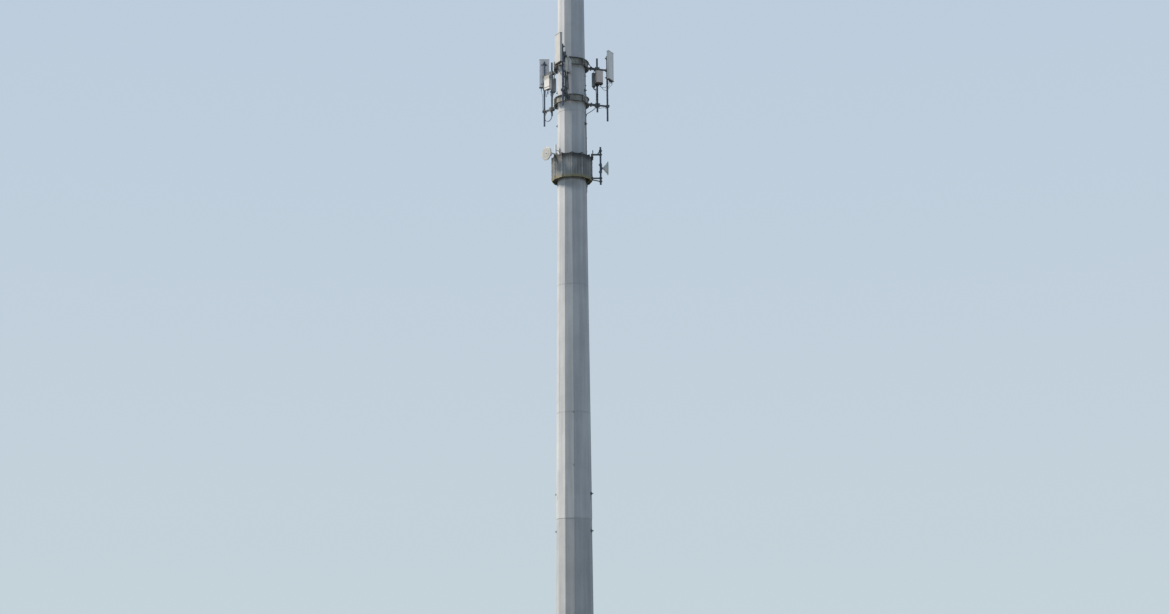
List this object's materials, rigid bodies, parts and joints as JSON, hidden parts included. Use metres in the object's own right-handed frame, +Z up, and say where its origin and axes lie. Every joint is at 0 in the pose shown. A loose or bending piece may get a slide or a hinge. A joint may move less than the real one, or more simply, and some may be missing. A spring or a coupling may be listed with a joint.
{
  "type": "monopole cell tower",
  "caption": "Tapered twelve-sided steel monopole mast with slip joints, sector mounts with panel antennas and radio units, a ribbed collar and small dishes.",
  "frame": {"origin": "centre of the base plate's lower face, on the foundation's top", "axes": "+Z up along the shaft; +X to the right and +Y away from the viewer in the reference picture"},
  "size_m": [2.6747, 2.6489, 36.208],
  "materials": {
    "shaft_galvanised": "weathered galvanised, matt",
    "base_steel": "galvanised, dull, some stain",
    "mount_steel": "old galvanised, dirty",
    "pipe_steel": "old galvanised pipe",
    "antenna_shell": "weathered light grey shell",
    "radio_paint": "light warm grey powder paint",
    "power_paint": "dark grey powder paint",
    "collar_sheet": "galvanised sheet with olive and rust stains",
    "dish_paint": "off-white paint, chalky",
    "bright_steel": "light galvanised",
    "cable_jacket": "black cable jacket"
  },
  "bodies": {
    "root": {"base_plate": "base_steel", "lower_section": "shaft_galvanised", "access_port_frame": "shaft_galvanised", "access_cover": "shaft_galvanised", "middle_section": "shaft_galvanised", "upper_section": "shaft_galvanised", "top_cap": "shaft_galvanised", "lightning_rod": "bright_steel", "jacking_lugs": "mount_steel", "upper_ring": "mount_steel", "lower_ring": "mount_steel", "ring_rods": "mount_steel", "right_arms": "mount_steel", "left_arms": "mount_steel", "front_arms": "mount_steel", "right_radio_pipe": "pipe_steel", "left_radio_pipe": "pipe_steel", "front_radio_pipe": "pipe_steel", "right_antenna_pipe": "pipe_steel", "left_antenna_pipe": "pipe_steel", "front_antenna_pipe": "pipe_steel", "right_panel_antenna": "antenna_shell", "left_panel_antenna": "antenna_shell", "front_panel_antenna": "antenna_shell", "antenna_brackets": "mount_steel", "right_radio_unit": "radio_paint", "left_radio_unit": "radio_paint", "front_radio_unit": "radio_paint", "radio_brackets": "mount_steel", "right_power_box": "power_paint", "left_power_box": "power_paint", "front_power_box": "power_paint", "collar_panels": "collar_sheet", "collar_ribs": "collar_sheet", "collar_top_plate": "collar_sheet", "collar_bottom_plate": "collar_sheet", "collar_gussets": "mount_steel", "dish_frame": "mount_steel", "dish_pipe": "pipe_steel", "right_dish": "dish_paint", "left_dish": "dish_paint", "left_dish_post": "bright_steel", "cable_port": "shaft_galvanised", "feeder_cables": "cable_jacket", "jumper_cables": "cable_jacket"}
  },
  "joints": []
}
